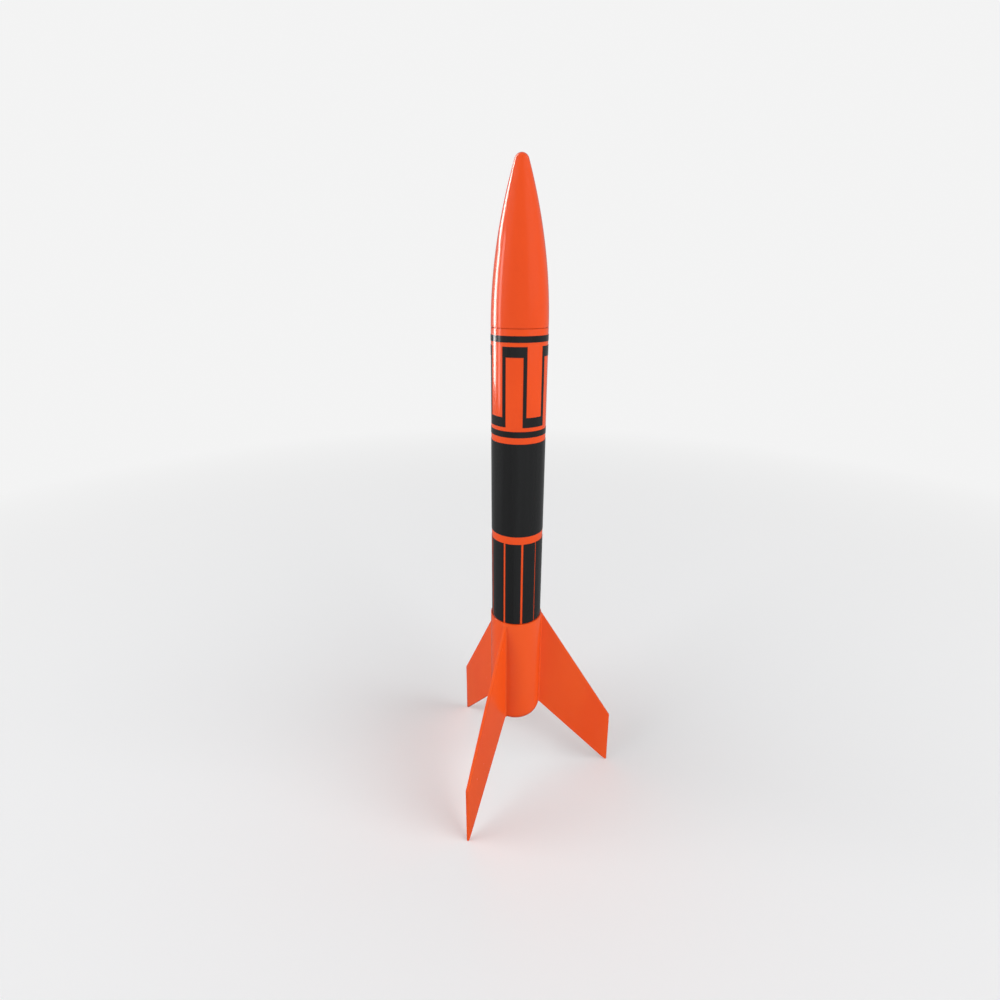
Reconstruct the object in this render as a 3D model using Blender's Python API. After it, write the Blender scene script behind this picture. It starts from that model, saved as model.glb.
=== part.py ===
"""A three-finned model rocket with its engine, its ejecting nose and its parachute recovery gear.

Radii and heights in the outlines are in millimetres and become metres where a mesh is made.
The floor is z = 0, under the tips of the fins, and every height is measured up from it.
"""
import math

import bmesh
import bpy
from mathutils import Matrix, Vector

MM = 0.001

# Airframe
TUBE_R = 12.4
TUBE_WALL = 0.35
TUBE_LENGTH = 196.8
JOINT_Z = 247.2
GAP = 0.3
SLIP = 0.2
TUBE_INSIDE = TUBE_R - TUBE_WALL

# Nose: an ogive arc, blunted by a small sphere that is tangent to it
OGIVE_ARC = 206.5
NOSE_TIP_R = 3.05
NOSE_WALL = 1.2
SHOULDER_R = 11.8
SHOULDER_INSIDE = 10.6
SHOULDER_DEPTH = 15.0
EYELET_R = 3.0
EYELET_BAR_R = 0.9

# Fin can
CAN_R = 13.1
CAN_TOP = 105.3
CAN_BOTTOM = 44.5
CAN_BORE = 10.4
LEDGE_Z = 50.0
BOATTAIL_ARC = 6.0
FIN_AZIMUTHS = (-114.9, 5.1, 125.1)
FIN_THICKNESS = 1.4
FIN_ROOT_TOP = 104.7
FIN_ROOT_BOTTOM = 46.0
FIN_TIP_R = 55.2
FIN_TIP_TOP = (54.4, 34.0)
FIN_FOOT = 1.2

# Launch lug, on the side of the engine hook, midway between two fins
LUG_AZIMUTH = 65.1
LUG_R = 2.05
LUG_WALL = 0.3
LUG_BOTTOM = 107.0
LUG_LENGTH = 50.0

# Engine mount
MOUNT_R = 9.35
MOUNT_WALL = 0.35
MOUNT_BOTTOM = 50.2
MOUNT_LENGTH = 70.0
RING_R = TUBE_INSIDE - GAP
RING_BORE = MOUNT_R + GAP
REAR_RING_Z = 56.0
FRONT_RING_Z = 100.0
RING_HEIGHT = 3.2
RETAINER_Z = 78.0
RETAINER_R = 11.25
RETAINER_HEIGHT = 6.0
BLOCK_Z = 114.4
BLOCK_HEIGHT = 5.4

# Engine hook: a bent strip, seen in the plane through the rocket's axis
HOOK_WIDTH = 3.0
HOOK_INSIDE = MOUNT_R + GAP
HOOK_STEEL = 0.6
HOOK_PRONG_Z = 113.7
HOOK_TAB_Z = 42.4
HOOK_TAB_R = 7.0
HOOK_PIVOT_Z = 60.0
HOOK_SIDE_GAP = 0.4

# Engine
CASING_R = 8.7
CASING_BORE = 6.35
CASING_BOTTOM = 43.0
CASING_LENGTH = 70.0
CHARGE_R = CASING_BORE - GAP
THROAT_R = 1.7
NOZZLE_EXIT_R = 3.3
NOZZLE_LENGTH = 11.0

# Recovery gear
WADDING_Z = 120.6
WADDING_HEIGHT = 20.5
WADDING_R = 11.4
CORD_R = 1.0
CORD_TRACK_R = 10.6
COIL_Z = 141.5
COIL_HEIGHT = 23.9
COIL_INSIDE = 8.0
CANOPY_Z = 166.5
CANOPY_HEIGHT = 53.0
CANOPY_R = 8.2
LINE_WRAP_Z = 184.0
LINE_WRAP_HEIGHT = 20.0
LINE_WRAP_R = 9.3
LINE_BUNDLE_R = 0.8
CORD_MOUNT_Z = 197.0
CORD_MOUNT_HEIGHT = 20.0
CORD_MOUNT_AZIMUTH = 250.0
CORD_MOUNT_SPAN = 46.0
CORD_MOUNT_INSIDE = 10.2

FINE = 64
MEDIUM = 48
COARSE = 36

ORANGE = (0.86, 0.095, 0.017)
KRAFT = (0.35, 0.2, 0.1)
CARD = (0.5, 0.42, 0.3)


def clear_scene():
    for obj in list(bpy.data.objects):
        bpy.data.objects.remove(obj, do_unlink=True)


def material(name, colour, roughness, metallic=0.0):
    made = bpy.data.materials.new(name)
    made.use_nodes = True
    shader = made.node_tree.nodes["Principled BSDF"]
    shader.inputs["Base Color"].default_value = (*colour, 1.0)
    shader.inputs["Roughness"].default_value = roughness
    shader.inputs["Metallic"].default_value = metallic
    made.diffuse_color = (*colour, 1.0)
    return made


def empty(name, parent=None, location=(0.0, 0.0, 0.0), turn=0.0):
    """A joint's frame; location in millimetres, turn in degrees about Z."""
    made = bpy.data.objects.new(name, None)
    made.empty_display_size = 0.01
    made.location = Vector(location) * MM
    made.rotation_euler = (0.0, 0.0, math.radians(turn))
    made.parent = parent
    bpy.context.scene.collection.objects.link(made)
    return made


def finish_mesh(name, shape, parent, look, height=0.0, turn=0.0):
    """Turn a bmesh in millimetres into an object in metres, standing at height."""
    bmesh.ops.remove_doubles(shape, verts=shape.verts, dist=1e-4)
    bmesh.ops.recalc_face_normals(shape, faces=shape.faces)
    bmesh.ops.scale(shape, vec=(MM, MM, MM), verts=shape.verts)
    mesh = bpy.data.meshes.new(name)
    shape.to_mesh(mesh)
    shape.free()
    mesh.shade_smooth()
    mesh.set_sharp_from_angle(angle=math.radians(35))
    made = bpy.data.objects.new(name, mesh)
    made.location = (0.0, 0.0, height * MM)
    made.rotation_euler = (0.0, 0.0, math.radians(turn))
    made.parent = parent
    if look is not None:
        mesh.materials.append(look)
    bpy.context.scene.collection.objects.link(made)
    return made


def turned(name, outline, parent, look, height=0.0, steps=COARSE):
    """A solid of revolution from a closed outline of (radius, z) points."""
    shape = bmesh.new()
    verts = [shape.verts.new((r, 0.0, z)) for r, z in outline]
    edges = []
    for start, end in zip(verts, verts[1:] + verts[:1]):
        if start.co.x > 0.0 or end.co.x > 0.0:
            edges.append(shape.edges.new((start, end)))
    bmesh.ops.spin(
        shape, geom=verts + edges, cent=(0, 0, 0), axis=(0, 0, 1),
        angle=math.tau, steps=steps, use_merge=True,
    )
    return finish_mesh(name, shape, parent, look, height)


def ring(name, inside, outside, length, parent, look, height, steps=COARSE, break_edge=0.0):
    """A plain tube; break_edge chamfers its outer rims."""
    outline = [(inside, 0.0), (outside - break_edge, 0.0)]
    if break_edge:
        outline += [(outside, break_edge), (outside, length - break_edge)]
    else:
        outline.append((outside, length))
    if break_edge:
        outline.append((outside - break_edge, length))
    outline.append((inside, length))
    return turned(name, outline, parent, look, height, steps)


def arc(centre_r, centre_z, radius, start, end, steps):
    """Points of an arc in the outline's plane; angles in degrees up from the radial axis."""
    points = []
    for i in range(steps + 1):
        angle = math.radians(start + (end - start) * i / steps)
        points.append((centre_r + radius * math.cos(angle), centre_z + radius * math.sin(angle)))
    return points


def plate(name, outline, thickness, parent, look=None, turn=0.0):
    """A flat plate in the plane through the rocket's axis, from (radius, z) points."""
    shape = bmesh.new()
    near = [shape.verts.new((r, -thickness / 2, z)) for r, z in outline]
    face = shape.faces.new(near)
    grown = bmesh.ops.extrude_face_region(shape, geom=[face])
    far = [item for item in grown["geom"] if isinstance(item, bmesh.types.BMVert)]
    bmesh.ops.translate(shape, verts=far, vec=(0.0, thickness, 0.0))
    return finish_mesh(name, shape, parent, look, turn=turn)


def block(name, low, high, parent, turn=0.0):
    """A box between two corners, used as a cutter."""
    shape = bmesh.new()
    size = Vector(high) - Vector(low)
    middle = (Vector(high) + Vector(low)) / 2
    bmesh.ops.create_cube(shape, size=1.0, matrix=Matrix.Translation(middle) @ Matrix.Diagonal(size.to_4d()))
    return finish_mesh(name, shape, parent, None, turn=turn)


def hide_helper(obj):
    obj.hide_render = True
    obj.display_type = "WIRE"


def combine(target, helper, operation):
    hide_helper(helper)
    modifier = target.modifiers.new(helper.name, "BOOLEAN")
    modifier.operation = operation
    modifier.solver = "EXACT"
    modifier.object = helper


def smooth_route(points, spacing):
    """Points about spacing apart on a Catmull-Rom curve through the given points."""
    knots = [Vector(p) for p in points]
    knots = [2 * knots[0] - knots[1]] + knots + [2 * knots[-1] - knots[-2]]
    route = []
    for a, b, c, d in zip(knots, knots[1:], knots[2:], knots[3:]):
        pieces = max(2, round((c - b).length / spacing))
        for i in range(pieces):
            t = i / pieces
            route.append(
                0.5 * (2 * b + (c - a) * t + (2 * a - 5 * b + 4 * c - d) * t**2
                       + (3 * b - a - 3 * c + d) * t**3)
            )
    route.append(knots[-2])
    return route


def around(radius, azimuth, z):
    """A point from cylinder coordinates about the rocket's axis."""
    angle = math.radians(azimuth)
    return (radius * math.cos(angle), radius * math.sin(angle), z)


def cord(name, points, radius, parent, look):
    """A round cord along a smooth curve through points, which are in millimetres."""
    curve = bpy.data.curves.new(name, "CURVE")
    curve.dimensions = "3D"
    curve.bevel_depth = radius * MM
    curve.bevel_resolution = 2
    curve.use_fill_caps = True
    route = smooth_route(points, 5.0 * radius)
    spline = curve.splines.new("POLY")
    spline.points.add(len(route) - 1)
    for knot, point in zip(spline.points, route):
        knot.co = (*(point * MM), 1.0)
    curve.materials.append(look)
    made = bpy.data.objects.new(name, curve)
    made.parent = parent
    bpy.context.scene.collection.objects.link(made)
    return made


def axis_offset():
    """Where the rocket's axis stands when the whole object's box is centred on the origin."""
    half = FIN_THICKNESS / 2
    xs = []
    ys = []
    for azimuth in FIN_AZIMUTHS:
        angle = math.radians(azimuth)
        for side in (-half, half):
            xs.append(FIN_TIP_R * math.cos(angle) - side * math.sin(angle))
            ys.append(FIN_TIP_R * math.sin(angle) + side * math.cos(angle))
    return (-(min(xs) + max(xs)) / 2, -(min(ys) + max(ys)) / 2, 0.0)


# Nose

def nose_cone(parent, look):
    arc_centre = -(OGIVE_ARC - TUBE_R)
    tip_height = math.sqrt((OGIVE_ARC - NOSE_TIP_R) ** 2 - arc_centre**2)
    meeting = math.degrees(math.atan2(tip_height, -arc_centre))
    inner_start = math.degrees(math.asin(2.0 / (OGIVE_ARC - NOSE_WALL)))
    outline = arc(arc_centre, 0.0, OGIVE_ARC, 0.0, meeting, 14)
    outline += arc(0.0, tip_height, NOSE_TIP_R, meeting, 90.0, 4)[1:-1]
    outline.append((0.0, tip_height + NOSE_TIP_R))
    outline.append((0.0, tip_height + NOSE_TIP_R - NOSE_WALL))
    outline += arc(0.0, tip_height, NOSE_TIP_R - NOSE_WALL, 90.0, meeting, 3)[1:]
    outline += arc(arc_centre, 0.0, OGIVE_ARC - NOSE_WALL, meeting, inner_start, 8)[1:]
    outline += [
        (SHOULDER_INSIDE, 0.0),
        (SHOULDER_INSIDE, -SHOULDER_DEPTH),
        (SHOULDER_R - 0.5, -SHOULDER_DEPTH),
        (SHOULDER_R, 0.8 - SHOULDER_DEPTH),
        (SHOULDER_R, 0.0),
    ]
    return turned("nose_cone", outline, parent, look, JOINT_Z, MEDIUM)


def nose_base(parent, look):
    """The plug in the shoulder, with the eyelet that the cords are tied to."""
    base_z = JOINT_Z - SHOULDER_DEPTH + 0.8
    plug_r = SHOULDER_INSIDE - GAP
    outline = [(0.0, 0.0), (plug_r, 0.0), (plug_r, 2.6), (0.0, 2.6)]
    plug = turned("nose_base", outline, parent, look, base_z)
    shape = bmesh.new()
    bar = bmesh.ops.create_circle(
        shape, segments=10, radius=EYELET_BAR_R,
        matrix=Matrix.Translation((EYELET_R, 0, 0)) @ Matrix.Rotation(math.pi / 2, 4, "X"),
    )
    rim = bar["verts"] + list(shape.edges)
    bmesh.ops.spin(
        shape, geom=rim, cent=(0, 0, 0), axis=(0, 0, 1), angle=math.tau, steps=24, use_merge=True
    )
    bmesh.ops.rotate(shape, verts=shape.verts, matrix=Matrix.Rotation(math.pi / 2, 3, "X"))
    eyelet = finish_mesh("eyelet_loop", shape, parent, look, base_z - 0.3)
    combine(plug, eyelet, "UNION")
    return plug


# Airframe

def fin_outline():
    root_slope = (FIN_ROOT_TOP - FIN_TIP_TOP[1]) / (FIN_TIP_TOP[0] - CAN_R)
    trail_slope = FIN_ROOT_BOTTOM / (FIN_TIP_R - FIN_FOOT - CAN_R)
    in_wall = CAN_R - 0.25
    in_boattail = CAN_R - 1.5
    return [
        (in_wall, FIN_ROOT_TOP + root_slope * (CAN_R - in_wall)),
        FIN_TIP_TOP,
        (FIN_TIP_R, 0.0),
        (FIN_TIP_R - FIN_FOOT, 0.0),
        (in_boattail, FIN_ROOT_BOTTOM + trail_slope * (CAN_R - in_boattail)),
        (in_wall, LEDGE_Z + 0.5),
    ]


def fin_can(parent, lug_side, look):
    """The moulded sleeve with its boat-tail, three fins and the slot for the engine hook."""
    bore = TUBE_R + SLIP
    turn_z = CAN_BOTTOM + BOATTAIL_ARC * math.sin(math.radians(48.6))
    outline = [(bore, CAN_TOP), (CAN_R - 0.15, CAN_TOP), (CAN_R, CAN_TOP - 0.15)]
    outline += arc(CAN_R - BOATTAIL_ARC, turn_z, BOATTAIL_ARC, 0.0, -48.6, 6)
    outline += [(CAN_BORE, CAN_BOTTOM), (CAN_BORE, LEDGE_Z), (bore, LEDGE_Z)]
    can = turned("fin_can", outline, parent, look, 0.0, FINE)
    for number, azimuth in enumerate(FIN_AZIMUTHS, start=1):
        fin = plate(f"fin_shape_{number}", fin_outline(), FIN_THICKNESS, parent, look, azimuth)
        combine(can, fin, "UNION")
    half = HOOK_WIDTH / 2 + HOOK_SIDE_GAP
    slot = block(
        "boattail_slot", (MOUNT_R, -half, CAN_BOTTOM - 2.0), (CAN_R + 2.0, half, LEDGE_Z - 0.4), lug_side
    )
    combine(can, slot, "DIFFERENCE")
    return can


def body_tube(parent, look):
    bottom = JOINT_Z - SLIP - TUBE_LENGTH
    return ring("body_tube", TUBE_INSIDE, TUBE_R, TUBE_LENGTH, parent, look, bottom, FINE)


def launch_lug(parent, look):
    lug = ring("launch_lug", LUG_R - LUG_WALL, LUG_R, LUG_LENGTH, parent, look, LUG_BOTTOM, 24)
    lug.location.x = (TUBE_R + GAP + LUG_R) * MM
    return lug


def hook_cutter(name, low_z, high_z, outside, parent):
    """The room that the hook's strip needs through a ring or a wall."""
    half = HOOK_WIDTH / 2 + HOOK_SIDE_GAP
    inside = MOUNT_R - MOUNT_WALL - 1.0
    return block(name, (inside, -half, low_z), (outside, half, high_z), parent)


def engine_mount(parent, lug_side, kraft, card):
    tube = ring(
        "engine_mount_tube", MOUNT_R - MOUNT_WALL, MOUNT_R, MOUNT_LENGTH, parent, kraft, MOUNT_BOTTOM, MEDIUM
    )
    prong_slot = hook_cutter(
        "prong_slot", HOOK_PRONG_Z - 0.6, HOOK_PRONG_Z + 0.6, MOUNT_R + 1.0, lug_side
    )
    combine(tube, prong_slot, "DIFFERENCE")
    strip_room = HOOK_INSIDE + HOOK_STEEL + GAP
    rings = (
        ("rear_centering_ring", REAR_RING_Z, RING_R, RING_HEIGHT),
        ("hook_retainer_ring", RETAINER_Z, RETAINER_R, RETAINER_HEIGHT),
        ("front_centering_ring", FRONT_RING_Z, RING_R, RING_HEIGHT),
    )
    for name, bottom, outside, length in rings:
        made = ring(name, RING_BORE, outside, length, parent, card, bottom, MEDIUM)
        room = hook_cutter(f"{name}_slot", bottom - 1.0, bottom + length + 1.0, strip_room, lug_side)
        combine(made, room, "DIFFERENCE")
    ring("engine_block", CASING_BORE, CASING_R, BLOCK_HEIGHT, parent, kraft, BLOCK_Z)


def engine_hook(hinge, look):
    """The bent strip, drawn about its hinge."""
    outside = HOOK_INSIDE + HOOK_STEEL
    half = HOOK_STEEL / 2
    outline = [
        (HOOK_TAB_R, HOOK_PRONG_Z - half),
        (HOOK_INSIDE, HOOK_PRONG_Z - half),
        (HOOK_INSIDE, HOOK_TAB_Z + half),
        (HOOK_TAB_R, HOOK_TAB_Z + half),
        (HOOK_TAB_R - 0.5, HOOK_TAB_Z - 2.6),
        (HOOK_TAB_R + 0.1, HOOK_TAB_Z - 2.8),
        (HOOK_TAB_R + 0.6, HOOK_TAB_Z - half),
        (outside, HOOK_TAB_Z - half),
        (outside, HOOK_PRONG_Z + half),
        (HOOK_TAB_R, HOOK_PRONG_Z + half),
    ]
    about_hinge = [(r - HOOK_INSIDE, z - HOOK_PIVOT_Z) for r, z in outline]
    return plate("engine_hook", about_hinge, HOOK_WIDTH, hinge, look)


# Engine

def engine(parent, kraft, clay, powder):
    ring("motor_casing", CASING_BORE, CASING_R, CASING_LENGTH, parent, kraft, CASING_BOTTOM, MEDIUM, 0.3)
    exit_z = 0.6
    throat_z = 6.0
    outline = [
        (CHARGE_R, exit_z), (CHARGE_R, NOZZLE_LENGTH), (THROAT_R + 1.2, NOZZLE_LENGTH),
        (THROAT_R, NOZZLE_LENGTH - 1.5), (THROAT_R, throat_z), (NOZZLE_EXIT_R, exit_z),
    ]
    turned("nozzle", outline, parent, clay, CASING_BOTTOM)
    grain_z = CASING_BOTTOM + NOZZLE_LENGTH + GAP
    grain_height = 17.0
    core_depth = 4.0
    grain = [
        (0.0, core_depth), (THROAT_R, 0.0), (CHARGE_R, 0.0), (CHARGE_R, grain_height), (0.0, grain_height)
    ]
    turned("propellant_grain", grain, parent, powder, grain_z)
    bottom = grain_z + grain_height + GAP
    slugs = (("delay_train", 15.0, powder), ("ejection_charge", 12.0, powder), ("clay_cap", 2.6, clay))
    for name, height, look in slugs:
        outline = [(0.0, 0.0), (CHARGE_R, 0.0), (CHARGE_R, height), (0.0, height)]
        turned(name, outline, parent, look, bottom)
        bottom += height + GAP


# Recovery gear

def soft_plug(name, radius, height, round_r, parent, look, bottom):
    """A plain round bundle with rounded rims."""
    outline = [(0.0, 0.0)]
    outline += arc(radius - round_r, round_r, round_r, -90.0, 0.0, 4)
    outline += arc(radius - round_r, height - round_r, round_r, 0.0, 90.0, 4)
    outline.append((0.0, height))
    return turned(name, outline, parent, look, bottom)


def shock_cord(airframe, nose, look):
    """The anchor end, the coiled length and the stretch that runs up to the eyelet."""
    ring("shock_cord_coil", COIL_INSIDE, CORD_TRACK_R + CORD_R, COIL_HEIGHT, airframe, look, COIL_Z, COARSE, 1.0)
    coil_top = COIL_Z + COIL_HEIGHT + GAP
    tail = [
        around(CORD_TRACK_R - 0.2, CORD_MOUNT_AZIMUTH, CORD_MOUNT_Z - GAP),
        around(CORD_TRACK_R, CORD_MOUNT_AZIMUTH, 180.0),
        around(CORD_TRACK_R, CORD_MOUNT_AZIMUTH, coil_top),
    ]
    cord("shock_cord_tail", tail, CORD_R, airframe, look)
    riser = [
        around(CORD_TRACK_R, 30.0, coil_top),
        around(CORD_TRACK_R, 30.0, 180.0),
        around(CORD_TRACK_R, 30.0, 200.0),
        around(CORD_TRACK_R - 0.2, 30.0, 213.0),
        around(7.4, 30.0, 221.8),
        around(3.2, 30.0, 225.4),
        around(1.5, 30.0, 228.2),
    ]
    cord("shock_cord_riser", riser, CORD_R, nose, look)


def shock_cord_mount(parent, look):
    """The folded paper anchor, a curved pad against the tube's inner wall."""
    shape = bmesh.new()
    outside = TUBE_INSIDE - GAP
    corners = (
        (CORD_MOUNT_INSIDE, 0.0), (outside, 0.0),
        (outside, CORD_MOUNT_HEIGHT), (CORD_MOUNT_INSIDE, CORD_MOUNT_HEIGHT),
    )
    face = shape.faces.new([shape.verts.new((r, 0.0, z)) for r, z in corners])
    bmesh.ops.spin(
        shape, geom=[face], cent=(0, 0, 0), axis=(0, 0, 1),
        angle=math.radians(CORD_MOUNT_SPAN), steps=8,
    )
    turn = CORD_MOUNT_AZIMUTH - CORD_MOUNT_SPAN / 2
    return finish_mesh("shock_cord_mount", shape, parent, look, CORD_MOUNT_Z, turn)


def parachute(parent, film, thread):
    """The rolled canopy, the lines wound round its waist and their run up to the eyelet."""
    soft_plug("parachute_canopy", CANOPY_R, CANOPY_HEIGHT, 3.0, parent, film, CANOPY_Z)
    ring(
        "shroud_line_wrap", CANOPY_R + GAP, LINE_WRAP_R, LINE_WRAP_HEIGHT, parent, thread, LINE_WRAP_Z
    )
    bundle = [
        around(2.6, 210.0, CANOPY_Z + CANOPY_HEIGHT + GAP),
        around(2.8, 210.0, 223.5),
        around(1.6, 210.0, 228.2),
    ]
    cord("shroud_line_bundle", bundle, LINE_BUNDLE_R, parent, thread)


def main():
    clear_scene()
    orange = material("orange_plastic", ORANGE, 0.25)
    orange_paper = material("orange_paper", ORANGE, 0.3)
    kraft = material("kraft_paper", KRAFT, 0.8)
    card = material("card", CARD, 0.8)
    lug_paper = material("lug_paper", (0.75, 0.72, 0.65), 0.7)
    steel = material("spring_steel", (0.55, 0.55, 0.56), 0.3, 1.0)
    clay = material("clay", (0.45, 0.4, 0.33), 0.9)
    powder = material("black_powder", (0.03, 0.03, 0.03), 0.9)
    tissue = material("tissue", (0.8, 0.75, 0.6), 0.95)
    elastic = material("elastic", (0.8, 0.77, 0.7), 0.8)
    film = material("canopy_film", (0.86, 0.15, 0.03), 0.35)
    thread = material("thread", (0.85, 0.85, 0.82), 0.8)

    offset = axis_offset()
    rocket = empty("rocket_axis", location=offset)
    lug_side = empty("lug_side", rocket, turn=LUG_AZIMUTH)
    nose = empty("nose_slide_axis", rocket)
    packed = empty("parachute_slide_axis", nose)
    motor = empty("engine_slide_axis", rocket)
    hinge = empty("hook_hinge_axis", lug_side, (HOOK_INSIDE, 0.0, HOOK_PIVOT_Z))

    nose_cone(nose, orange)
    nose_base(nose, orange)
    body_tube(rocket, orange_paper)
    fin_can(rocket, lug_side, orange)
    launch_lug(lug_side, lug_paper)
    engine_mount(rocket, lug_side, kraft, card)
    engine_hook(hinge, steel)
    engine(motor, kraft, clay, powder)
    soft_plug("recovery_wadding", WADDING_R, WADDING_HEIGHT, 2.5, rocket, tissue, WADDING_Z)
    shock_cord(rocket, nose, elastic)
    shock_cord_mount(rocket, lug_paper)
    parachute(packed, film, thread)


main()
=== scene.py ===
"""The looks of a small model rocket: moulded nose and fin can, a coated paper tube with glossy
black film on it, and inside it the engine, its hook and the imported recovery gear.

Outlines are (radius, z) in millimetres about the tube's axis, z up from the floor.
"""

import math

import bmesh
import bpy
from mathutils import Matrix, Vector, noise


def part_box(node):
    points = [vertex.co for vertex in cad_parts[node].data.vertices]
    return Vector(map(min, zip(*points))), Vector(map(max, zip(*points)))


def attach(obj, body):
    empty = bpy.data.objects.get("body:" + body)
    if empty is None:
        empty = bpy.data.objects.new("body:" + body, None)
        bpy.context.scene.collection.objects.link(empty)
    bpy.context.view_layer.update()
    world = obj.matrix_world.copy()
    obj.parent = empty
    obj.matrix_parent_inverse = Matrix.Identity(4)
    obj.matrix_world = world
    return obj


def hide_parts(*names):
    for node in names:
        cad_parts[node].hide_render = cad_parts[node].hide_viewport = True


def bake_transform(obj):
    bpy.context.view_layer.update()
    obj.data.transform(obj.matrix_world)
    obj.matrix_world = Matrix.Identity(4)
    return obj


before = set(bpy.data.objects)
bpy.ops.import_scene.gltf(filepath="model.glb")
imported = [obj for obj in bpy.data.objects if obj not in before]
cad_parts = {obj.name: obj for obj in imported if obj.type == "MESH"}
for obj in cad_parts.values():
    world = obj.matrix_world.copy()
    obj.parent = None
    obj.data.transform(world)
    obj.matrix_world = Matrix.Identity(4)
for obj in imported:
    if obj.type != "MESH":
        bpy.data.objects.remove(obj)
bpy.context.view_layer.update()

MM = 0.001


def middle_of(node):
    low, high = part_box(node)
    return (low + high) / 2


def size_of(node):
    low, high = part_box(node)
    return (high - low) / MM


def span_z(node):
    low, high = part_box(node)
    return low.z / MM, high.z / MM


# Places taken from the frame, in millimetres
AXIS = Vector((middle_of("body_tube").x, middle_of("body_tube").y, 0.0))
TUBE_R = size_of("body_tube").x / 2
TUBE_BOTTOM, TUBE_TOP = span_z("body_tube")
SHOULDER_BOTTOM = span_z("nose_cone")[0]
CAN_TOP = span_z("fin_can")[1]
LUG_BOTTOM, LUG_TOP = span_z("launch_lug")
CASING_BOTTOM, CASING_TOP = span_z("motor_casing")
CASING_R = size_of("motor_casing").x / 2
HOOK_BOTTOM, HOOK_TOP = span_z("engine_hook")
COIL_BOTTOM, COIL_TOP = span_z("shock_cord_coil")
CANOPY_BOTTOM, CANOPY_TOP = span_z("parachute_canopy")
CANOPY_R = size_of("parachute_canopy").x / 2
WRAP_BOTTOM, WRAP_TOP = span_z("shroud_line_wrap")
EYELET_Z = span_z("nose_base")[0]

HOOK_HALF = 0.3
HOOK_PRONG_Z = HOOK_TOP - HOOK_HALF
HOOK_TAB_Z = HOOK_BOTTOM + 2.8

# Shapes that the frame's boxes don't give, in millimetres and degrees
JOINT_Z = 247.2
TUBE_WALL = 0.35
OGIVE_ARC = 206.5
NOSE_TIP_R = 3.05
SHOULDER_R = 11.8
SHOULDER_INSIDE = 10.6
CAN_R = 13.1
CAN_BOTTOM = 44.5
CAN_BORE = 10.4
LEDGE_Z = 50.0
BOATTAIL_ARC = 6.0
FIN_AZIMUTHS = (-114.9, 5.1, 125.1)
FIN_HALF = 0.7
FIN_ROOT_TOP = 104.7
FIN_ROOT_BOTTOM = 46.0
FIN_TIP_R = 55.2
FIN_TIP_TOP_R = 54.4
FIN_TIP_TOP_Z = 34.0
FIN_FOOT = 1.2
FIN_FILLET = 0.8
LUG_AZIMUTH = 65.1
LUG_OUT = 14.75
LUG_R = 2.05
LUG_WALL = 0.3
MOUNT_R = 9.35
MOUNT_BORE = 9.0
EYELET_BAR_R = 0.9

# The films: heights of their edges, and the azimuths of what is cut in them
FILM = 0.09
THIN_BANDS = ((241.7, 244.3), (201.5, 204.2))
WIDE_WRAP = (153.6, 198.6)
KEY_BOTTOM = 206.0
KEY_TOP = 240.0
KEY_BAR = 4.3
KEY_STROKE = 1.6
KEY_FIRST = -250.0
KEY_STEP = 43.0
KEY_STROKES = 9
PANEL_TOP = 149.7
PANEL_LINES = (
    (-201.0, 1.0), (-161.8, 1.2), (-118.2, 0.95), (-78.0, 1.05), (-44.6, 0.4),
    (-5.0, 1.0), (35.0, 1.0), (75.0, 1.0), (117.0, 1.0),
)


# Camera: a short lens close to the rocket, a little above the nose joint and looking down

def place_camera():
    distance = 242.5
    height = 263.3
    pitch_down = 21.54
    pan_left = 1.99
    data = bpy.data.cameras.new("camera")
    data.sensor_width = 36.0
    data.lens = 19.5
    data.clip_start = 0.005
    camera = bpy.data.objects.new("camera", data)
    camera.location = AXIS + Vector((0.0, -distance, height)) * MM
    camera.rotation_euler = (math.radians(90.0 - pitch_down), 0.0, math.radians(pan_left))
    bpy.context.scene.collection.objects.link(camera)
    bpy.context.scene.camera = camera


# Materials

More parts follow.
